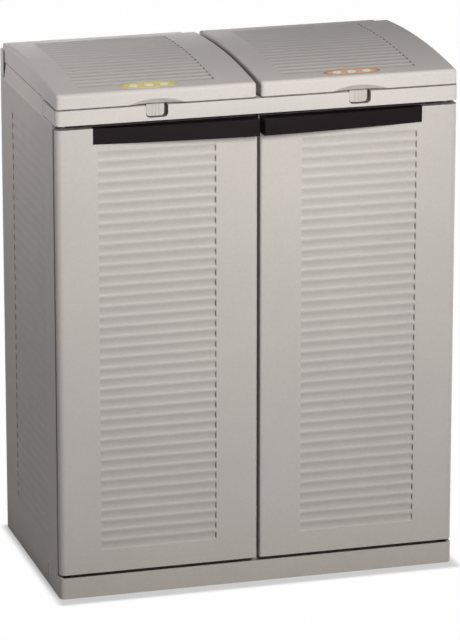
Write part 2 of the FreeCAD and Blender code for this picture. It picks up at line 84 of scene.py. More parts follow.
GROOVE_PITCH = 0.01747
GROOVE_HALF = 0.0075          # half a groove's width
GROOVE_CORE = 0.12            # share of the pitch beside a groove's middle that gets the full painted shade
GROOVE_END = 0.0023           # end of a groove that is painted dark, standing in for the shadow of its end wall
PANEL_GROOVES = (0.07884, 0.76017)    # z from and to, on the doors and side panels
DOOR_GROOVES = (0.0725, 0.270)        # |x| from and to
SIDE_GROOVES = (-0.1015, 0.1205)      # y from and to
LID_GROOVES = ((-0.294, -0.067), (0.0485, 0.2755))    # x from and to, on each lid
LID_GROOVE_COUNT = 18
LID_FIRST_GROOVE = 0.036      # middle of the first groove behind the lid's front
DOOR_GROOVE_FLOOR = 0.0022    # nothing of a groove lies deeper than this under its face
LID_GROOVE_FLOOR = 0.0014

RECESS_MIDDLES = (-0.17125, 0.17125)
RECESS_HALF = 0.0185          # half a catch recess's width
RECESS_REACH = (0.001, 0.0185)    # behind the top frame's front
RECESS_HEIGHTS = (0.8085, 0.8289)
CATCH_RIB = 0.0055            # spacing of the lines on a catch
CATCH_LINE_HALF = 0.0004
MASK_EDGE = 0.0002            # a mask reaches this far past the face that it is for
RIM_HEIGHT = 0.0015           # lower edge of a lid that is painted with shade
RIM_BACK = 0.03               # that edge ends this far in front of the lid's rear
DOOR_EDGE_BELOW = 0.0005      # lower and upper edges of a door that are painted with shade
DOOR_EDGE_ABOVE = 0.0006

# ---- Painted shade, dust, colours and textures that a user doesn't set ---------------------------
# Painted shade: the colour below darkens grooves, joints, recesses and edges by the shares that follow it,
# from 0 for none to 1 for full cover.
SHADE_PAINT_COLOUR = (0.030, 0.027, 0.025)
SIDE_GROOVE_SHADE = 0.04
DOOR_GROOVE_SHADE = 0.10
LID_GROOVE_SHADE = 0.09
SIDE_END_SHADE = 0.65
DOOR_END_SHADE = 0.70
LID_END_SHADE = 0.75
JOINT_SHADE = 0.75
CHANNEL_SHADE = 0.80
RECESS_SHADE = 0.60
DOOR_EDGE_SHADE = 0.60
RIM_SHADE = 0.70
CATCH_LINE_SHADE = 0.35
OUTLINE_START = 0.74          # squared share of an oval's half-sizes at which its outline starts
BAND_PAINTED_LIGHT = 1.16           # painted light: the side panels' upward-tilted band made lighter than the rest of the panel
WHITE = (1.0, 1.0, 1.0)
CLOUD_WAVES = 5.0             # waves per metre of the plastic's cloudy colour
SPECKLE_WAVES = 165.0         # of its coarser flecks
GLOSS_WAVES = 38.0            # of its gloss
SHADE_PATCH_WAVES = 60.0             # of the patches in the painted shade
LOW_DUST_HEIGHT = 0.12        # dust thins out up to this height
LOW_DUST_TINT = (1.0, 0.985, 0.965)

# ---- Dots on the badges, as shares of a badge's length, width, thickness and bead --------------
DOT_COUNT = 3
DOT_SPACING = 0.26            # of the length
DOT_LENGTH = 0.15
DOT_WIDTH = 0.40              # of the width
DOT_LIFT = 0.9                # of the thickness
DOT_THICKNESS = 0.4
DOT_RIM = 0.35                # of the bead

# ---- Floor and lamps -----------------------------------------------------------------------------
FLOOR_REACH = 9.0             # half the floor's width
FLOOR_PAINT = ((0.46, 0.46, 0.46, 1.0), (0.49, 0.49, 0.49, 1.0))
SHADOW_REACH = 0.016          # the floor turns white this far beside the object
SHADOW_WHITE = 0.40           # share of white close beside it
LAMPS = (                     # name, power setting, place, aim and size
    ("Key lamp", "key_power", (0.12, -1.65, 1.41), (0.0, 0.0, 1.2), 0.8),
    ("Side lamp", "side_power", (-1.05, 0.25, 1.25), (0.0, 0.0, 1.2), 0.5),
    ("Right lamp", "right_power", (1.75, 0.35, 0.5), (0.34, 0.0, 0.45), 0.8),
    ("Back lamp", "back_power", (0.4, 2.6, 0.7), (0.0, 0.0, 0.5), 0.8),
)


# ---- Sizes and colours that a user may change -------------------------------------------------
class BinSizes(bpy.types.PropertyGroup):
    """Sizes of the badges on the lids and of the plastic's surface."""
    badge_length: FloatProperty(
        name="Badge Length", description="Length of a badge along the lid's front edge",
        default=0.098, min=0.02, max=0.2, subtype="DISTANCE", unit="LENGTH")
    badge_width: FloatProperty(
        name="Badge Width", description="Width of a badge from front to back",
        default=0.026, min=0.01, max=0.1, subtype="DISTANCE", unit="LENGTH")
    badge_thickness: FloatProperty(
        name="Badge Thickness", description="Height of a badge above the lid",
        default=0.0006, min=0.0002, max=0.003, subtype="DISTANCE", unit="LENGTH")
    badge_rim: FloatProperty(
        name="Badge Rim", description="Radius of the bead round a badge",
        default=0.0006, min=0.0002, max=0.003, subtype="DISTANCE", unit="LENGTH")
    badge_left_x: FloatProperty(
        name="Left Badge Place", description="Middle of the left badge along the width",
        default=-0.179, subtype="DISTANCE", unit="LENGTH")
    badge_right_x: FloatProperty(
        name="Right Badge Place", description="Middle of the right badge along the width",
        default=0.1635, subtype="DISTANCE", unit="LENGTH")
    badge_setback: FloatProperty(
        name="Badge Setback", description="Middle of a badge behind the lid's front edge",
        default=0.0215, min=0.0, max=0.3, subtype="DISTANCE", unit="LENGTH")
    crown_radius: FloatProperty(
        name="Crown Radius", description="Radius of the lids' crowned top",
        default=1.8, min=0.5, max=10.0, subtype="DISTANCE", unit="LENGTH")
    crown_setback: FloatProperty(
        name="Crown Setback", description="Highest line of a lid behind its front edge",
        default=0.211, min=0.0, max=0.4, subtype="DISTANCE", unit="LENGTH")
    grain_size: FloatProperty(
        name="Grain Size", description="Spacing of the fine grain moulded into the plastic",
        default=0.0014, min=0.0002, max=0.01, subtype="DISTANCE", unit="LENGTH")
    grain_depth: FloatProperty(
        name="Grain Depth", description="Height of the fine grain moulded into the plastic",
        default=0.00012, min=0.0, max=0.001, subtype="DISTANCE", unit="LENGTH")


class BinColours(bpy.types.PropertyGroup):
    """Colours of the plastics and of the badges."""
    grey: FloatVectorProperty(
        name="Grey Plastic", description="Colour of the cabinet and doors",
        default=(0.520, 0.482, 0.455), size=3, min=0.0, max=1.0, subtype="COLOR")
    # A lighter copy of the grey plastic: partly a paler plastic, partly painted light on the lid fronts and
    # the top rail.
    pale_lit_grey: FloatVectorProperty(
        name="Light Grey Plastic", description="Colour of the top frame and lids",
        default=(0.585, 0.545, 0.518), size=3, min=0.0, max=1.0, subtype="COLOR")
    black: FloatVectorProperty(
        name="Black Plastic", description="Colour of the door grips",
        default=(0.0065, 0.0032, 0.0042), size=3, min=0.0, max=1.0, subtype="COLOR")
    dark: FloatVectorProperty(
        name="Dark Plastic", description="Colour of the bag rings and door clips",
        default=(0.060, 0.058, 0.056), size=3, min=0.0, max=1.0, subtype="COLOR")
    yellow: FloatVectorProperty(
        name="Left Badge", description="Colour of the left lid's badge",
        default=(0.66, 0.575, 0.18), size=3, min=0.0, max=1.0, subtype="COLOR")
    orange: FloatVectorProperty(
        name="Right Badge", description="Colour of the right lid's badge",
        default=(0.62, 0.40, 0.24), size=3, min=0.0, max=1.0, subtype="COLOR")
    yellow_rim: FloatVectorProperty(
        name="Left Badge Rim", description="Colour round the left lid's badge",
        default=(0.50, 0.43, 0.13), size=3, min=0.0, max=1.0, subtype="COLOR")
    orange_rim: FloatVectorProperty(
        name="Right Badge Rim", description="Colour round the right lid's badge",
        default=(0.34, 0.18, 0.09), size=3, min=0.0, max=1.0, subtype="COLOR")
    cream: FloatVectorProperty(
        name="Badge Field", description="Colour of the three dots inside a badge",
        default=(0.80, 0.75, 0.62), size=3, min=0.0, max=1.0, subtype="COLOR")


class BinStage(bpy.types.PropertyGroup):
    """Strength of the lamps and place of the camera."""
    key_power: FloatProperty(
        name="Key Lamp", description="Power of the large lamp in front",
        default=33.0, min=0.0, unit="POWER")
    side_power: FloatProperty(
        name="Side Lamp", description="Power of the weak lamp on the left",
        default=4.7, min=0.0, unit="POWER")
    right_power: FloatProperty(
        name="Right Lamp", description="Power of the low lamp on the right",
        default=12.0, min=0.0, unit="POWER")
    back_power: FloatProperty(
        name="Back Lamp", description="Power of the lamp behind",
        default=30.0, min=0.0, unit="POWER")
    ambient: FloatProperty(
        name="Ambient Light", description="Strength of the even light from all round",
        default=0.07, min=0.0, max=1.0)
    floor_glow: FloatProperty(
        name="Floor Whiteness", description="Share of plain white in the floor as the camera sees it",
        default=0.985, min=0.0, max=1.0)
    camera_lens: FloatProperty(
        name="Camera Lens", description="Focal length in millimetres",
        default=241.9, min=10.0, max=500.0)
    camera_place: FloatVectorProperty(
        name="Camera Place", description="Where the camera stands",
        default=(-1.917, -6.683, 2.461), size=3, subtype="TRANSLATION")
    camera_yaw: FloatProperty(
        name="Camera Yaw", description="Turn of the view to the right of straight ahead",
        default=math.radians(16.03), subtype="ANGLE")
    camera_pitch: FloatProperty(
        name="Camera Pitch", description="Downward tilt of the view",
        default=math.radians(16.49), subtype="ANGLE")


# ---- Node helpers ------------------------------------------------------------------------------
def add_node(tree, kind, **settings):
    """A node of a tree with some of its settings made."""
    node = tree.nodes.new(kind)
    for name, value in settings.items():
        setattr(node, name, value)
    return node


def feed(tree, node, **sources):
    """Sets or links input sockets of a node by name, with underscores for spaces."""
    for name, source in sources.items():
        socket = node.inputs[name.replace("_", " ")]
        if isinstance(source, bpy.types.NodeSocket):
            tree.links.new(source, socket)
        else:
            socket.default_value = source


def maths(tree, operation, first, second=0.0):
    """Result of an operation on two numbers or sockets."""
    node = add_node(tree, "ShaderNodeMath", operation=operation)
    for socket, source in zip(node.inputs, (first, second)):
        if isinstance(source, bpy.types.NodeSocket):
            tree.links.new(source, socket)
        else:
            socket.default_value = source
    return node.outputs[0]


def triple(tree, x, y, z):
    """Vector of three numbers or sockets."""
    node = add_node(tree, "ShaderNodeCombineXYZ")
    feed(tree, node, X=x, Y=y, Z=z)
    return node.outputs[0]


def new_material(name):
    """Empty node material with an output and a principled shader, ready for more nodes."""
    material = bpy.data.materials.new(name)
    material.use_nodes = True
    tree = material.node_tree
    tree.nodes.clear()
    output = add_node(tree, "ShaderNodeOutputMaterial")
    shader = add_node(tree, "ShaderNodeBsdfPrincipled")
    tree.links.new(shader.outputs["BSDF"], output.inputs["Surface"])
    return material, tree, shader


def tinted(colour, share):
    """A colour with its brightness changed by a share, and full opacity."""
    return tuple(min(1.0, channel * share) for channel in colour) + (1.0,)


def noise(tree, place, scale, detail, roughness=0.5):
    """Noise texture at a number of waves per metre of the piece."""
    texture = add_node(tree, "ShaderNodeTexNoise")
    feed(tree, texture, Vector=place, Scale=scale, Detail=detail, Roughness=roughness)
    return texture.outputs["Fac"]


def ramp(tree, source, low, high, stops):
    """Colour ramp that reads a value between low and high."""
    band = add_node(tree, "ShaderNodeMapRange")
    feed(tree, band, Value=source, From_Min=low, From_Max=high)
    node = add_node(tree, "ShaderNodeValToRGB")
    feed(tree, node, Fac=band.outputs["Result"])
    node.color_ramp.elements[0].color = stops[0]
    node.color_ramp.elements[1].color = stops[-1]
    for number, stop in enumerate(stops[1:-1], 1):
        element = node.color_ramp.elements.new(number / (len(stops) - 1))
        element.color = stop
    return node.outputs["Color"]


def multiplied(tree, first, second):
    """Product of two colours."""
    node = add_node(tree, "ShaderNodeMix", data_type="RGBA", blend_type="MULTIPLY")
    node.inputs[0].default_value = 1.0
    tree.links.new(first, node.inputs[6])
    tree.links.new(second, node.inputs[7])
    return node.outputs[2]


def above(tree, value, limit):
    """1 where a value is more than a limit, else 0."""
    return maths(tree, "GREATER_THAN", value, limit)


def below(tree, value, limit):
    """1 where a value is less than a limit, else 0."""
    return maths(tree, "LESS_THAN", value, limit)


def between(tree, value, low, high):
    """1 where a value lies between two limits, else 0."""
    return maths(tree, "MULTIPLY", above(tree, value, low), below(tree, value, high))


def any_of(tree, masks):
    """Greatest of several masks."""
    found = masks[0]
    for mask in masks[1:]:
        found = maths(tree, "MAXIMUM", found, mask)
    return found


def all_of(tree, masks):
    """Product of several masks."""
    found = masks[0]
    for mask in masks[1:]:
        found = maths(tree, "MULTIPLY", found, mask)
    return found


def coordinates(tree):
    """X, Y and Z of a point of the surface."""
    parts = add_node(tree, "ShaderNodeSeparateXYZ")
    feed(tree, parts, Vector=add_node(tree, "ShaderNodeTexCoord").outputs["Object"])
    return parts.outputs["X"], parts.outputs["Y"], parts.outputs["Z"]


def in_grooves(tree, across, first):
    """1 along the middle of each groove, falling to 0 at its edges. First is one groove's middle."""
    from_edge = maths(tree, "SUBTRACT", across, first - GROOVE_PITCH / 2)
    turns = maths(tree, "DIVIDE", from_edge, GROOVE_PITCH)
    off_middle = maths(tree, "ABSOLUTE", maths(tree, "SUBTRACT", maths(tree, "FRACT", turns), 0.5))
    mask = add_node(tree, "ShaderNodeMapRange", interpolation_type="SMOOTHSTEP")
    feed(tree, mask, Value=off_middle, From_Min=GROOVE_HALF / GROOVE_PITCH, From_Max=GROOVE_CORE,
         To_Min=0.0, To_Max=1.0)
    return mask.outputs["Result"]


def recoloured(material, mask, colour, blend="MIX"):
    """Mixes or multiplies a finish with a colour where a mask is 1."""
    tree = material.node_tree
    shader = next(node for node in tree.nodes if node.type == "BSDF_PRINCIPLED")
    plain = shader.inputs["Base Color"].links[0].from_socket
    choice = add_node(tree, "ShaderNodeMix", data_type="RGBA", blend_type=blend)
    tree.links.new(mask, choice.inputs[0])
    tree.links.new(plain, choice.inputs[6])
    choice.inputs[7].default_value = tuple(colour) + (1.0,)
    tree.links.new(choice.outputs[2], shader.inputs["Base Color"])


def paint_shade(material, mask, share):
    """Paints shade: darkens a share of a finish where a mask is 1, in cloudy patches."""
    tree = material.node_tree
    place = add_node(tree, "ShaderNodeTexCoord").outputs["Object"]
    patch = add_node(tree, "ShaderNodeMapRange")
    feed(tree, patch, Value=noise(tree, place, SHADE_PATCH_WAVES, 3.0), From_Min=0.3, From_Max=0.7,
         To_Min=share * 0.8, To_Max=min(1.0, share * 1.2))
    recoloured(material, maths(tree, "MULTIPLY", mask, patch.outputs["Result"]), SHADE_PAINT_COLOUR)


def moulded_plastic(name, colour, sizes, mottle, gloss, dust, shine=0.22):
    """Satin moulded plastic: cloudy colour, flecks of two sizes, grain, and dull dust near the floor."""
    material, tree, shader = new_material(name)
    place = add_node(tree, "ShaderNodeTexCoord").outputs["Object"]
    grain_scale = 1.0 / sizes.grain_size
    cloud = ramp(tree, noise(tree, place, CLOUD_WAVES, 3.0), 0.3, 0.7,
                 [tinted(colour, 1.0 - mottle), tinted(colour, 1.0), tinted(colour, 1.0 + mottle)])
    flecks = ramp(tree, noise(tree, place, grain_scale * 0.55, 2.0), 0.35, 0.65,
                  [tinted(WHITE, 1.0 - mottle), tinted(WHITE, 1.0)])
    speckle = ramp(tree, noise(tree, place, SPECKLE_WAVES, 2.0), 0.35, 0.65,
                   [tinted(WHITE, 1.0 - mottle), tinted(WHITE, 1.0)])
    height = add_node(tree, "ShaderNodeSeparateXYZ")
    feed(tree, height, Vector=place)
    worn = ramp(tree, height.outputs["Z"], 0.0, LOW_DUST_HEIGHT,
                [tinted(LOW_DUST_TINT, 1.0 - dust), tinted(WHITE, 1.0)])
    coloured = cloud
    for layer in (flecks, speckle, worn):
        coloured = multiplied(tree, coloured, layer)
    rough = add_node(tree, "ShaderNodeMapRange")
    feed(tree, rough, Value=noise(tree, place, GLOSS_WAVES, 4.0), From_Min=0.25, From_Max=0.75,
         To_Min=gloss - 0.05, To_Max=gloss + 0.06)
    grain = noise(tree, place, grain_scale, 3.0, 0.6)
    bump = add_node(tree, "ShaderNodeBump")
    feed(tree, bump, Strength=0.45, Distance=sizes.grain_depth, Height=grain)
    feed(tree, shader, Base_Color=coloured, Roughness=rough.outputs["Result"],
         Normal=bump.outputs["Normal"])
    shader.inputs["IOR"].default_value = 1.46
    shader.inputs["Specular IOR Level"].default_value = shine
    return material


def printed_plastic(name, colour):
    """Smooth printed badge: an even ink with faint print mottling under a satin film."""
    material, tree, shader = new_material(name)
    place = add_node(tree, "ShaderNodeTexCoord").outputs["Object"]
    ink = ramp(tree, noise(tree, place, 160.0, 3.0), 0.3, 0.7, [tinted(colour, 0.93), tinted(colour, 1.04)])
    rough = add_node(tree, "ShaderNodeMapRange")
    feed(tree, rough, Value=noise(tree, place, 90.0, 2.0), From_Min=0.25, From_Max=0.75,
         To_Min=0.30, To_Max=0.42)
    bump = add_node(tree, "ShaderNodeBump")
    feed(tree, bump, Strength=0.2, Distance=0.00004, Height=noise(tree, place, 700.0, 2.0))
    feed(tree, shader, Base_Color=ink, Roughness=rough.outputs["Result"], Normal=bump.outputs["Normal"])
    shader.inputs["Specular IOR Level"].default_value = 0.3
    return material


def outlined(material, centre, size, colour):
    """Gives a printed oval a band of another colour along its edge."""
    tree = material.node_tree
    x, y = coordinates(tree)[:2]
    squares = []
    for value, middle, length in ((x, centre[0], size[0]), (y, centre[1], size[1])):
        share = maths(tree, "DIVIDE", maths(tree, "SUBTRACT", value, middle), length / 2)
        squares.append(maths(tree, "MULTIPLY", share, share))
    recoloured(material, above(tree, maths(tree, "ADD", squares[0], squares[1]), OUTLINE_START), colour)
    return material


def paint_pivot_shade(material, low, high, colour):
    """Paints shade: gives a door's pivots, which stand out below and above it, the dark plastic's colour,
    so they sink into the gaps' shade.
    """
    tree = material.node_tree
    height = coordinates(tree)[2]
    recoloured(material, any_of(tree, [below(tree, height, low), above(tree, height, high)]), colour)


def dress(names, material):
    """Gives CAD nodes one material."""
    for name in names:
        mesh = NODES[name].data
        mesh.materials.clear()
        mesh.materials.append(material)


# ---- Badges ------------------------------------------------------------------------------------
BADGE_SOCKETS = (
    ("Centre X", "NodeSocketFloat"),
    ("Centre Y", "NodeSocketFloat"),
    ("Length", "NodeSocketFloat"),
    ("Width", "NodeSocketFloat"),
    ("Lift", "NodeSocketFloat"),
    ("Thickness", "NodeSocketFloat"),
    ("Rim Radius", "NodeSocketFloat"),
    ("Count", "NodeSocketInt"),
    ("Spacing", "NodeSocketFloat"),
    ("Crown Radius", "NodeSocketFloat"),
    ("Crown Y", "NodeSocketFloat"),
    ("Crown Z", "NodeSocketFloat"),
    ("Material", "NodeSocketMaterial"),
)
OVAL_POINTS = 64
RIM_POINTS = 8


def laid_on_crown(tree, geometry, given):
    """Moves a flat shape to its place and bends it onto the lid's crown."""
    moved = add_node(tree, "GeometryNodeTransform")
    feed(tree, moved, Geometry=geometry,
         Translation=triple(tree, given["Centre X"], given["Centre Y"], 0.0))
    spot = add_node(tree, "ShaderNodeSeparateXYZ")
    feed(tree, spot, Vector=add_node(tree, "GeometryNodeInputPosition").outputs[0])
    away = maths(tree, "SUBTRACT", spot.outputs["Y"], given["Crown Y"])
    reach = maths(tree, "SUBTRACT", maths(tree, "MULTIPLY", given["Crown Radius"], given["Crown Radius"]),
                  maths(tree, "MULTIPLY", away, away))
    level = maths(tree, "ADD", maths(tree, "SQRT", reach), given["Crown Z"])
    bent = add_node(tree, "GeometryNodeSetPosition")
    feed(tree, bent, Geometry=moved.outputs[0], Offset=triple(tree, 0.0, 0.0, level))
    return bent.outputs[0]


def badge_tree():
    """Row of oval plates, each with a bead round its edge, laid on the lid's crown."""
    tree = bpy.data.node_groups.new("Badge plate", "GeometryNodeTree")
    for name, kind in BADGE_SOCKETS:
        tree.interface.new_socket(name, in_out="INPUT", socket_type=kind)
    tree.interface.new_socket("Geometry", in_out="OUTPUT", socket_type="NodeSocketGeometry")
    given = add_node(tree, "NodeGroupInput").outputs
    half_length = maths(tree, "MULTIPLY", given["Length"], 0.5)
    half_width = maths(tree, "MULTIPLY", given["Width"], 0.5)

    disc = add_node(tree, "GeometryNodeMeshCircle", fill_type="NGON")
    feed(tree, disc, Vertices=OVAL_POINTS, Radius=1.0)
    oval = add_node(tree, "GeometryNodeTransform")
    feed(tree, oval, Geometry=disc.outputs[0], Scale=triple(tree, half_length, half_width, 1.0),
         Translation=triple(tree, 0.0, 0.0, given["Lift"]))
    raised = add_node(tree, "GeometryNodeExtrudeMesh", mode="FACES")
    feed(tree, raised, Mesh=oval.outputs[0], Offset=triple(tree, 0.0, 0.0, 1.0),
         Offset_Scale=given["Thickness"], Individual=False)
    under = add_node(tree, "GeometryNodeFlipFaces")
    feed(tree, under, Mesh=oval.outputs[0])
    closed = add_node(tree, "GeometryNodeJoinGeometry")
    tree.links.new(raised.outputs["Mesh"], closed.inputs[0])
    tree.links.new(under.outputs[0], closed.inputs[0])
    plate = add_node(tree, "GeometryNodeMergeByDistance")
    feed(tree, plate, Geometry=closed.outputs[0], Distance=1e-6)

    path = add_node(tree, "GeometryNodeCurvePrimitiveCircle", mode="RADIUS")
    feed(tree, path, Resolution=OVAL_POINTS, Radius=1.0)
    ring = add_node(tree, "GeometryNodeTransform")
    rim_scale = triple(tree, maths(tree, "SUBTRACT", half_length, given["Rim Radius"]),
                       maths(tree, "SUBTRACT", half_width, given["Rim Radius"]), 1.0)
    top = maths(tree, "ADD", given["Lift"], given["Thickness"])
    feed(tree, ring, Geometry=path.outputs[0], Scale=rim_scale, Translation=triple(tree, 0.0, 0.0, top))
    section = add_node(tree, "GeometryNodeCurvePrimitiveCircle", mode="RADIUS")
    feed(tree, section, Resolution=RIM_POINTS, Radius=given["Rim Radius"])
    bead = add_node(tree, "GeometryNodeCurveToMesh")
    feed(tree, bead, Curve=ring.outputs[0], Profile_Curve=section.outputs[0])
    smooth = add_node(tree, "GeometryNodeSetShadeSmooth")
    feed(tree, smooth, Geometry=bead.outputs[0], Shade_Smooth=True)

    shape = add_node(tree, "GeometryNodeJoinGeometry")
    tree.links.new(plate.outputs[0], shape.inputs[0])
    tree.links.new(smooth.outputs[0], shape.inputs[0])

    row_length = maths(tree, "MULTIPLY", maths(tree, "SUBTRACT", given["Count"], 1.0), given["Spacing"])
    row_start = maths(tree, "MULTIPLY", row_length, -0.5)
    row = add_node(tree, "GeometryNodeMeshLine", mode="OFFSET")
    feed(tree, row, Count=given["Count"], Start_Location=triple(tree, row_start, 0.0, 0.0),
         Offset=triple(tree, given["Spacing"], 0.0, 0.0))
    copies = add_node(tree, "GeometryNodeInstanceOnPoints")
    feed(tree, copies, Points=row.outputs[0], Instance=shape.outputs[0])
    flat = add_node(tree, "GeometryNodeRealizeInstances")
    feed(tree, flat, Geometry=copies.outputs[0])
    real = add_node(tree, "GeometryNodeRealizeInstances")
    feed(tree, real, Geometry=laid_on_crown(tree, flat.outputs[0], given))
    painted = add_node(tree, "GeometryNodeSetMaterial")
    feed(tree, painted, Geometry=real.outputs[0], Material=given["Material"])
    output = add_node(tree, "NodeGroupOutput")
    tree.links.new(painted.outputs[0], output.inputs[0])
    return tree


def grown_piece(name, tree, values, body):
    """Plain mesh made by a node tree with these inputs, riding on a body."""
    source = bpy.data.objects.new(name + "_source", bpy.data.meshes.new(name + "_source"))
    bpy.context.scene.collection.objects.link(source)
    modifier = source.modifiers.new("Shape", "NODES")
    modifier.node_group = tree
    for item in tree.interface.items_tree:
        if item.in_out == "INPUT" and item.name in values:
            modifier[item.identifier] = values[item.name]
    bpy.context.view_layer.update()
    seen = source.evaluated_get(bpy.context.evaluated_depsgraph_get())
    mesh = bpy.data.meshes.new_from_object(seen)
    source.modifiers.remove(modifier)
    bpy.data.objects.remove(source)
    if not mesh.polygons:
        raise RuntimeError(name + " came out empty")
    mesh.name = name
    piece = bpy.data.objects.new(name, mesh)
    bpy.context.scene.collection.objects.link(piece)
    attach(piece, body)
    return piece


# ---- Finishes with painted shade and painted light ---------------------------------------------
def side_joints(tree, y, z):
    """1 in the open joints between the side panels, the base and the top frame."""
    beside_tongue = any_of(tree, [between(tree, y, TONGUE_FRONT - JOINT, TONGUE_FRONT + JOINT / 3),
                                  between(tree, y, TONGUE_BACK - JOINT / 3, TONGUE_BACK + JOINT)])
    start, end = TONGUE_HEIGHTS
    high_or_low = any_of(tree, [above(tree, z, FRAME_BOTTOM), between(tree, z, start, end)])
    off_tongue = any_of(tree, [below(tree, y, TONGUE_FRONT), above(tree, y, TONGUE_BACK)])
    under_frame = between(tree, z, FRAME_BOTTOM - JOINT / 2, FRAME_BOTTOM + JOINT / 4)
    return any_of(tree, [all_of(tree, [beside_tongue, high_or_low]),
                         all_of(tree, [under_frame, off_tongue])])


def finish_cabinet(scene):
    """Grey cabinet with painted shade in the side panels' grooves, in their joints and in the base's
    channel, and painted light on the side panels' band.
    """
    plastic = moulded_plastic("Cabinet plastic", scene.bin_colours.grey, scene.bin_sizes,
                              mottle=0.026, gloss=0.60, dust=0.04, shine=0.10)
    tree = plastic.node_tree
    x, y, z = coordinates(tree)
    across = maths(tree, "ABSOLUTE", x)
    side_face = above(tree, across, SIDE_FACE)
    front, rear = SIDE_GROOVES
    bottom, top = PANEL_GROOVES
    grooves = all_of(tree, [above(tree, across, GROOVED_FACE), between(tree, y, front, rear),
                            between(tree, z, bottom, top), in_grooves(tree, z, bottom + GROOVE_PITCH / 2)])
    # Painted shade along the middle of each groove.
    paint_shade(plastic, grooves, SIDE_GROOVE_SHADE)
    # Painted shade at each groove's rear end, standing in for the shadow of its end wall.
    paint_shade(plastic, all_of(tree, [grooves, above(tree, y, rear - GROOVE_END)]), SIDE_END_SHADE)
    # Painted light: the band, which tilts up, is painted lighter as if it caught more light from above.
    band = all_of(tree, [side_face, above(tree, z, FRAME_BOTTOM - BAND_DROP)])
    recoloured(plastic, band, (BAND_PAINTED_LIGHT, BAND_PAINTED_LIGHT, BAND_PAINTED_LIGHT), "MULTIPLY")
    # Painted shade in the open joints between the side panels, the base and the top frame.
    paint_shade(plastic, all_of(tree, [side_face, side_joints(tree, y, z)]), JOINT_SHADE)
    # Painted shade in the channel under the doors.
    low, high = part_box("base")
    start, end = CHANNEL_REACH
    channel = all_of(tree, [between(tree, z, high.z - CHANNEL_DEPTH, high.z + MASK_EDGE),
                            between(tree, y, low.y + start, low.y + end)])
    paint_shade(plastic, channel, CHANNEL_SHADE)
    dress(CABINET_NODES, plastic)


def finish_top_frame(scene):
    """Light grey top frame with painted shade in the catch recesses and in the joints at its sides."""
    # The lighter grey holds painted light on the top rail.
    plastic = moulded_plastic("Top frame plastic", scene.bin_colours.pale_lit_grey, scene.bin_sizes,
                              mottle=0.022, gloss=0.56, dust=0.0, shine=0.14)
    tree = plastic.node_tree
    x, y, z = coordinates(tree)
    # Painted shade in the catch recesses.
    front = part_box("top_frame")[0].y
    half = RECESS_HALF + MASK_EDGE
    start, end = RECESS_REACH
    bottom, top = RECESS_HEIGHTS
    recess = all_of(tree, [any_of(tree, [between(tree, x, middle - half, middle + half)
                                         for middle in RECESS_MIDDLES]),
                           between(tree, y, front + start, front + end), between(tree, z, bottom, top)])
    paint_shade(plastic, recess, RECESS_SHADE)
    # Painted shade in the joints at the top frame's sides.
    side_face = above(tree, maths(tree, "ABSOLUTE", x), SIDE_FACE)
    foot = all_of(tree, [side_face, below(tree, z, FRAME_BOTTOM + JOINT / 3)])
    beside_tongue = any_of(tree, [between(tree, y, TONGUE_FRONT - 2 * JOINT, TONGUE_FRONT),
                                  between(tree, y, TONGUE_BACK, TONGUE_BACK + 2 * JOINT)])
    ends = all_of(tree, [side_face, above(tree, z, FRAME_BOTTOM), beside_tongue])
    paint_shade(plastic, any_of(tree, [foot, ends]), JOINT_SHADE)
    dress(("top_frame",), plastic)


def finish_doors(scene):
    """Grey doors with painted shade in the grooves, at their right ends, on a door's lower and upper edges
    and on its pivots.
    """
    plastic = moulded_plastic("Door plastic", scene.bin_colours.grey, scene.bin_sizes,
                              mottle=0.026, gloss=0.55, dust=0.02)
    tree = plastic.node_tree
    x, y, z = coordinates(tree)
    inner, outer = DOOR_GROOVES
    bottom, top = PANEL_GROOVES
    low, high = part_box("door_left")
    grooves = all_of(tree, [below(tree, y, low.y + DOOR_GROOVE_FLOOR),
                            between(tree, maths(tree, "ABSOLUTE", x), inner, outer),
                            between(tree, z, bottom, top), in_grooves(tree, z, bottom + GROOVE_PITCH / 2)])
    # Painted shade along the middle of each groove.
    paint_shade(plastic, grooves, DOOR_GROOVE_SHADE)
    # Painted shade at each groove's right end, standing in for the shadow of its end wall.
    right_ends = any_of(tree, [between(tree, x, -inner - GROOVE_END, -inner),
                               between(tree, x, outer - GROOVE_END, outer)])
    paint_shade(plastic, all_of(tree, [grooves, right_ends]), DOOR_END_SHADE)
    foot = low.z + PIVOT_BELOW
    head = high.z - PIVOT_ABOVE
    # Painted shade on a door's lower and upper edges, beside the gaps under and over it.
    edges = any_of(tree, [below(tree, z, foot + DOOR_EDGE_BELOW), above(tree, z, head - DOOR_EDGE_ABOVE)])
    paint_shade(plastic, edges, DOOR_EDGE_SHADE)
    # Painted shade: the pivots in the gaps below and above a door are coloured dark.
    paint_pivot_shade(plastic, foot, head, scene.bin_colours.dark)
    dress(DOOR_NODES, plastic)


def on_crown(tree, y, z, crest_y, crest_z, radius):
    """Distance of a point along a lid's crowned top from its highest line, and its depth below that top."""
    share = maths(tree, "DIVIDE", maths(tree, "SUBTRACT", y, crest_y), radius)
    along = maths(tree, "MULTIPLY", maths(tree, "ARCSINE", share), radius)
    cosine = maths(tree, "SQRT", maths(tree, "SUBTRACT", 1.0, maths(tree, "MULTIPLY", share, share)))
    top = maths(tree, "ADD", maths(tree, "MULTIPLY", cosine, radius), crest_z - radius)
    return along, maths(tree, "SUBTRACT", top, z)


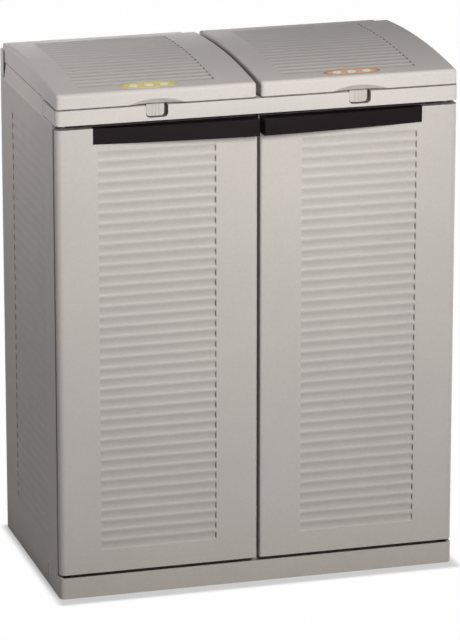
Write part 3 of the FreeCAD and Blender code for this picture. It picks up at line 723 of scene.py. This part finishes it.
def finish_lids(scene):
    """Light grey lids with painted shade in the grooves, at their right ends and on a lid's lower rim."""
    sizes = scene.bin_sizes
    # The lighter grey holds painted light on the lid fronts.
    plastic = moulded_plastic("Lid plastic", scene.bin_colours.pale_lit_grey, sizes,
                              mottle=0.024, gloss=0.56, dust=0.0, shine=0.08)
    tree = plastic.node_tree
    x, y, z = coordinates(tree)
    low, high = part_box("lid_left")
    along, depth = on_crown(tree, y, z, low.y + sizes.crown_setback, high.z, sizes.crown_radius)
    first = LID_FIRST_GROOVE - sizes.crown_setback
    last = first + (LID_GROOVE_COUNT - 1) * GROOVE_PITCH
    fields = any_of(tree, [between(tree, x, start, end) for start, end in LID_GROOVES])
    grooves = all_of(tree, [fields, between(tree, along, first - GROOVE_HALF, last + GROOVE_HALF),
                            below(tree, depth, LID_GROOVE_FLOOR), in_grooves(tree, along, first)])
    # Painted shade along the middle of each groove.
    paint_shade(plastic, grooves, LID_GROOVE_SHADE)
    # Painted shade at each groove's right end, standing in for the shadow of its end wall.
    right_ends = any_of(tree, [between(tree, x, end - GROOVE_END, end) for start, end in LID_GROOVES])
    paint_shade(plastic, all_of(tree, [grooves, right_ends]), LID_END_SHADE)
    # Painted shade along a lid's lower edge, beside its gap to the top frame.
    rim = all_of(tree, [between(tree, z, LID_BOTTOM - MASK_EDGE, LID_BOTTOM + RIM_HEIGHT),
                        below(tree, y, high.y - RIM_BACK)])
    paint_shade(plastic, rim, RIM_SHADE)
    dress(LID_NODES, plastic)


def finish_catches(scene):
    """Grey catches with three upright lines of painted shade on each."""
    plastic = moulded_plastic("Catch plastic", scene.bin_colours.grey, scene.bin_sizes,
                              mottle=0.030, gloss=0.48, dust=0.0, shine=0.25)
    tree = plastic.node_tree
    x = coordinates(tree)[0]
    # Painted shade: three dark lines on each catch stand in for the shade of the creases on it.
    lines = []
    for name in CATCH_NODES:
        low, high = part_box(name)
        for step in (-1, 0, 1):
            place = (low.x + high.x) / 2 + step * CATCH_RIB
            lines.append(between(tree, x, place - CATCH_LINE_HALF, place + CATCH_LINE_HALF))
    paint_shade(plastic, any_of(tree, lines), CATCH_LINE_SHADE)
    dress(CATCH_NODES, plastic)


# ---- Operators ---------------------------------------------------------------------------------
class BIN_OT_cabinet(bpy.types.Operator):
    """Finish the base, side panels, back and top frame in grey plastic"""
    bl_idname = "bin.cabinet"
    bl_label = "Cabinet Mouldings"

    def execute(self, context):
        finish_cabinet(context.scene)
        finish_top_frame(context.scene)
        return {"FINISHED"}


class BIN_OT_doors(bpy.types.Operator):
    """Finish the two grooved doors in grey plastic"""
    bl_idname = "bin.doors"
    bl_label = "Doors"

    def execute(self, context):
        finish_doors(context.scene)
        return {"FINISHED"}


class BIN_OT_lids(bpy.types.Operator):
    """Finish the two lids and their catches in grey plastic"""
    bl_idname = "bin.lids"
    bl_label = "Lids"

    def execute(self, context):
        finish_lids(context.scene)
        finish_catches(context.scene)
        return {"FINISHED"}


class BIN_OT_grips(bpy.types.Operator):
    """Finish the door grips in black plastic"""
    bl_idname = "bin.grips"
    bl_label = "Door Grips"

    def execute(self, context):
        scene = context.scene
        dress(GRIP_NODES, moulded_plastic("Black plastic", scene.bin_colours.black, scene.bin_sizes,
                                          mottle=0.10, gloss=0.46, dust=0.0, shine=0.12))
        return {"FINISHED"}


class BIN_OT_inner_parts(bpy.types.Operator):
    """Finish the bag rings and door clips in dark plastic"""
    bl_idname = "bin.inner_parts"
    bl_label = "Bag Rings and Clips"

    def execute(self, context):
        scene = context.scene
        dress(DARK_NODES, moulded_plastic("Dark plastic", scene.bin_colours.dark, scene.bin_sizes,
                                          mottle=0.06, gloss=0.46, dust=0.0))
        return {"FINISHED"}


class BIN_OT_badges(bpy.types.Operator):
    """Make the plain oval badge on each lid, with a bead round it and three pale dots inside"""
    bl_idname = "bin.badges"
    bl_label = "Lid Badges"

    def execute(self, context):
        sizes = context.scene.bin_sizes
        colours = context.scene.bin_colours
        tree = badge_tree()
        low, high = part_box("lid_left")
        crown_z = high.z - sizes.crown_radius
        crown_y = low.y + sizes.crown_setback
        y = low.y + sizes.badge_setback
        size = (sizes.badge_length, sizes.badge_width)
        cream = printed_plastic("Badge field", colours.cream)
        places = (("left", sizes.badge_left_x, colours.yellow, colours.yellow_rim),
                  ("right", sizes.badge_right_x, colours.orange, colours.orange_rim))
        for side, x, colour, rim in places:
            plate = {
                "Centre X": x, "Centre Y": y,
                "Length": sizes.badge_length, "Width": sizes.badge_width,
                "Lift": -sizes.badge_thickness / 3, "Thickness": sizes.badge_thickness,
                "Rim Radius": sizes.badge_rim, "Count": 1, "Spacing": 0.0,
                "Crown Radius": sizes.crown_radius, "Crown Y": crown_y, "Crown Z": crown_z,
                "Material": outlined(printed_plastic("Badge " + side, colour), (x, y), size, rim),
            }
            grown_piece("badge_" + side, tree, plate, "lid_" + side)
            dots = dict(plate)
            dots["Count"] = DOT_COUNT
            dots["Spacing"] = sizes.badge_length * DOT_SPACING
            dots["Length"] = sizes.badge_length * DOT_LENGTH
            dots["Width"] = sizes.badge_width * DOT_WIDTH
            dots["Lift"] = plate["Lift"] + sizes.badge_thickness * DOT_LIFT
            dots["Thickness"] = sizes.badge_thickness * DOT_THICKNESS
            dots["Rim Radius"] = sizes.badge_rim * DOT_RIM
            dots["Material"] = cream
            grown_piece("badge_field_" + side, tree, dots, "lid_" + side)
        return {"FINISHED"}


# ---- Floor, lamps, surroundings and camera -----------------------------------------------------
def seen_rays(tree):
    """1 for rays from the camera, mirrors and glass, else 0."""
    path = add_node(tree, "ShaderNodeLightPath")
    return any_of(tree, [path.outputs["Is Camera Ray"], path.outputs["Is Glossy Ray"],
                         path.outputs["Is Transmission Ray"]])


def white_to_camera(tree, shader, share):
    """Mix that adds plain white to what the camera, mirrors and glass see of a surface."""
    glow = add_node(tree, "ShaderNodeEmission")
    feed(tree, glow, Color=(1.0, 1.0, 1.0, 1.0), Strength=1.0)
    mix = add_node(tree, "ShaderNodeMixShader")
    tree.links.new(maths(tree, "MULTIPLY", seen_rays(tree), share), mix.inputs[0])
    tree.links.new(shader, mix.inputs[1])
    tree.links.new(glow.outputs[0], mix.inputs[2])
    return mix.outputs[0]


def beside_footprint(tree, place):
    """Distance of a floor point from the rectangle that the object stands on."""
    low, high = cad_box
    parts = add_node(tree, "ShaderNodeSeparateXYZ")
    feed(tree, parts, Vector=place)
    spans = []
    for axis, start, end in (("X", low[0], high[0]), ("Y", low[1], high[1])):
        off_middle = maths(tree, "SUBTRACT", parts.outputs[axis], (start + end) / 2)
        from_middle = maths(tree, "ABSOLUTE", off_middle)
        spans.append(maths(tree, "MAXIMUM", maths(tree, "SUBTRACT", from_middle, (end - start) / 2), 0.0))
    length = add_node(tree, "ShaderNodeVectorMath", operation="LENGTH")
    tree.links.new(triple(tree, spans[0], spans[1], 0.0), length.inputs[0])
    return length.outputs["Value"]


def make_floor(glow):
    """Wide pale floor that keeps the soft shadow beside the object and is white further off."""
    reach = FLOOR_REACH
    mesh = bpy.data.meshes.new("floor")
    corners = [(-reach, -reach, 0.0), (reach, -reach, 0.0), (reach, reach, 0.0), (-reach, reach, 0.0)]
    mesh.from_pydata(corners, [], [(0, 1, 2, 3)])
    floor = bpy.data.objects.new("floor", mesh)
    bpy.context.scene.collection.objects.link(floor)
    material, tree, shader = new_material("Floor")
    place = add_node(tree, "ShaderNodeTexCoord").outputs["Object"]
    paint = ramp(tree, noise(tree, place, 1.5, 2.0), 0.3, 0.7, FLOOR_PAINT)
    feed(tree, shader, Base_Color=paint, Roughness=0.9)
    share = add_node(tree, "ShaderNodeMapRange", interpolation_type="SMOOTHSTEP")
    feed(tree, share, Value=beside_footprint(tree, place), From_Min=0.0, From_Max=SHADOW_REACH,
         To_Min=SHADOW_WHITE, To_Max=glow)
    output = next(node for node in tree.nodes if node.type == "OUTPUT_MATERIAL")
    white = white_to_camera(tree, shader.outputs[0], share.outputs["Result"])
    tree.links.new(white, output.inputs["Surface"])
    mesh.materials.append(material)


def make_lamp(name, place, aim, size, power):
    """Square area lamp turned towards a point."""
    data = bpy.data.lights.new(name, "AREA")
    data.shape = "SQUARE"
    data.size = size
    data.energy = power
    lamp = bpy.data.objects.new(name, data)
    lamp.location = place
    lamp.rotation_euler = (Vector(aim) - Vector(place)).to_track_quat("-Z", "Y").to_euler()
    bpy.context.scene.collection.objects.link(lamp)


def make_world(ambient):
    """Even light all round, seen by the camera as white."""
    world = bpy.data.worlds.new("Studio")
    world.use_nodes = True
    tree = world.node_tree
    tree.nodes.clear()
    strength = add_node(tree, "ShaderNodeMapRange")
    feed(tree, strength, Value=seen_rays(tree), To_Min=ambient, To_Max=1.0)
    light = add_node(tree, "ShaderNodeBackground")
    feed(tree, light, Color=(1.0, 1.0, 1.0, 1.0), Strength=strength.outputs["Result"])
    output = add_node(tree, "ShaderNodeOutputWorld")
    tree.links.new(light.outputs[0], output.inputs["Surface"])
    bpy.context.scene.world = world


class BIN_OT_stage(bpy.types.Operator):
    """Make the floor, lamps, surroundings and camera"""
    bl_idname = "bin.stage"
    bl_label = "Stage"

    def execute(self, context):
        scene = context.scene
        stage = scene.bin_stage
        make_floor(stage.floor_glow)
        make_world(stage.ambient)
        for name, power, place, aim, size in LAMPS:
            make_lamp(name, place, aim, size, getattr(stage, power))
        lens = bpy.data.cameras.new("Camera")
        lens.sensor_width = 36.0
        lens.lens = stage.camera_lens
        lens.clip_end = 50.0
        camera = bpy.data.objects.new("Camera", lens)
        camera.location = stage.camera_place
        camera.rotation_euler = (math.pi / 2 - stage.camera_pitch, 0.0, -stage.camera_yaw)
        scene.collection.objects.link(camera)
        bpy.context.scene.camera = camera
        scene.view_settings.view_transform = "Standard"
        return {"FINISHED"}


class BIN_PT_panel(bpy.types.Panel):
    """Sizes, colours and steps of the recycling bin"""
    bl_idname = "BIN_PT_panel"
    bl_label = "Recycling Bin"
    bl_space_type = "VIEW_3D"
    bl_region_type = "UI"
    bl_category = "Bin"

    def draw(self, context):
        layout = self.layout
        for group in (context.scene.bin_sizes, context.scene.bin_colours, context.scene.bin_stage):
            box = layout.box()
            for name in group.__annotations__:
                box.prop(group, name)
        for step in STEPS:
            layout.operator(step.bl_idname)


GROUPS = (BinSizes, BinColours, BinStage)
STEPS = (BIN_OT_cabinet, BIN_OT_doors, BIN_OT_lids, BIN_OT_grips, BIN_OT_inner_parts, BIN_OT_badges,
         BIN_OT_stage)


def register():
    for item in GROUPS + STEPS + (BIN_PT_panel,):
        bpy.utils.register_class(item)
    bpy.types.Scene.bin_sizes = PointerProperty(type=BinSizes)
    bpy.types.Scene.bin_colours = PointerProperty(type=BinColours)
    bpy.types.Scene.bin_stage = PointerProperty(type=BinStage)


def unregister():
    del bpy.types.Scene.bin_stage
    del bpy.types.Scene.bin_colours
    del bpy.types.Scene.bin_sizes
    for item in reversed(GROUPS + STEPS + (BIN_PT_panel,)):
        bpy.utils.unregister_class(item)


def main():
    register()
    bpy.ops.bin.cabinet()
    bpy.ops.bin.doors()
    bpy.ops.bin.lids()
    bpy.ops.bin.grips()
    bpy.ops.bin.inner_parts()
    bpy.ops.bin.badges()
    bpy.ops.bin.stage()


if __name__ == "__main__":
    main()
